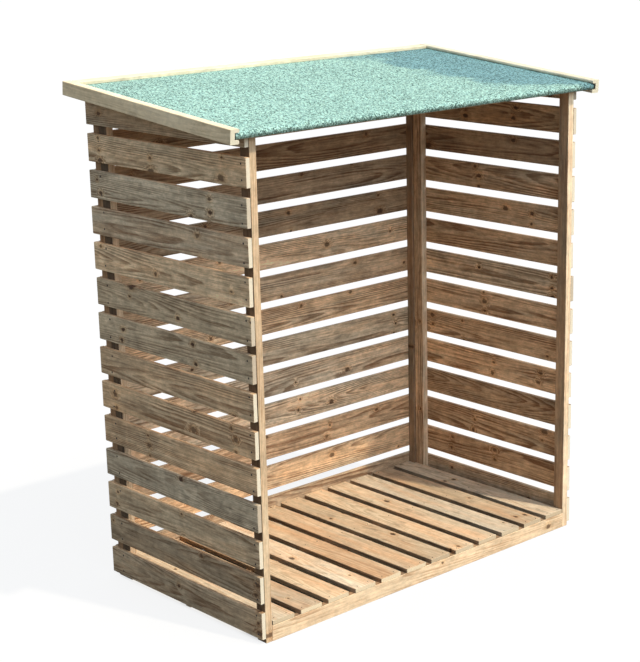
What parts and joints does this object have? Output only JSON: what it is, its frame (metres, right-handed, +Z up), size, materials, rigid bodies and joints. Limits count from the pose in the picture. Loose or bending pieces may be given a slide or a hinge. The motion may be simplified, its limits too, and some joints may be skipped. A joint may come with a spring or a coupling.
{
  "type": "log store",
  "caption": "Open-fronted lean-to log store with slatted walls and floor, grooved verge rails and a sloping felted roof.",
  "frame": {"origin": "on the ground, under the middle of the outline of the whole store", "axes": "+Z up, -Y towards the open front, +X to the right seen from the open front"},
  "size_m": [1.348, 0.7044, 1.4119],
  "materials": {
    "wall_timber": "weathered sawn softwood, matt",
    "deck_timber": "sawn softwood, matt",
    "frame_timber": "sawn softwood, matt",
    "board_timber": "sawn softwood, matt",
    "trim_timber": "planed softwood, matt",
    "mineral_felt": "green mineral granules on bitumen felt, matt"
  },
  "bodies": {
    "root": {"back_left_upright": "frame_timber", "back_right_upright": "frame_timber", "back_slats": "wall_timber", "deck_slat_01": "deck_timber", "deck_slat_02": "deck_timber", "deck_slat_03": "deck_timber", "deck_slat_04": "deck_timber", "deck_slat_05": "deck_timber", "deck_slat_06": "deck_timber", "deck_slat_07": "deck_timber", "deck_slat_08": "deck_timber", "deck_slat_09": "deck_timber", "deck_slat_10": "deck_timber", "deck_slat_11": "deck_timber", "deck_slat_12": "deck_timber", "front_bearer": "frame_timber", "front_rafter": "frame_timber", "left_front_upright": "frame_timber", "left_rear_upright": "frame_timber", "left_slats": "wall_timber", "left_verge_rail": "trim_timber", "middle_bearer": "frame_timber", "rear_bearer": "frame_timber", "rear_rafter": "frame_timber", "rear_trim": "trim_timber", "right_front_upright": "frame_timber", "right_rear_upright": "frame_timber", "right_slats": "wall_timber", "right_verge_rail": "trim_timber", "roof_boards": "board_timber", "roof_felt": "mineral_felt"}
  },
  "joints": []
}
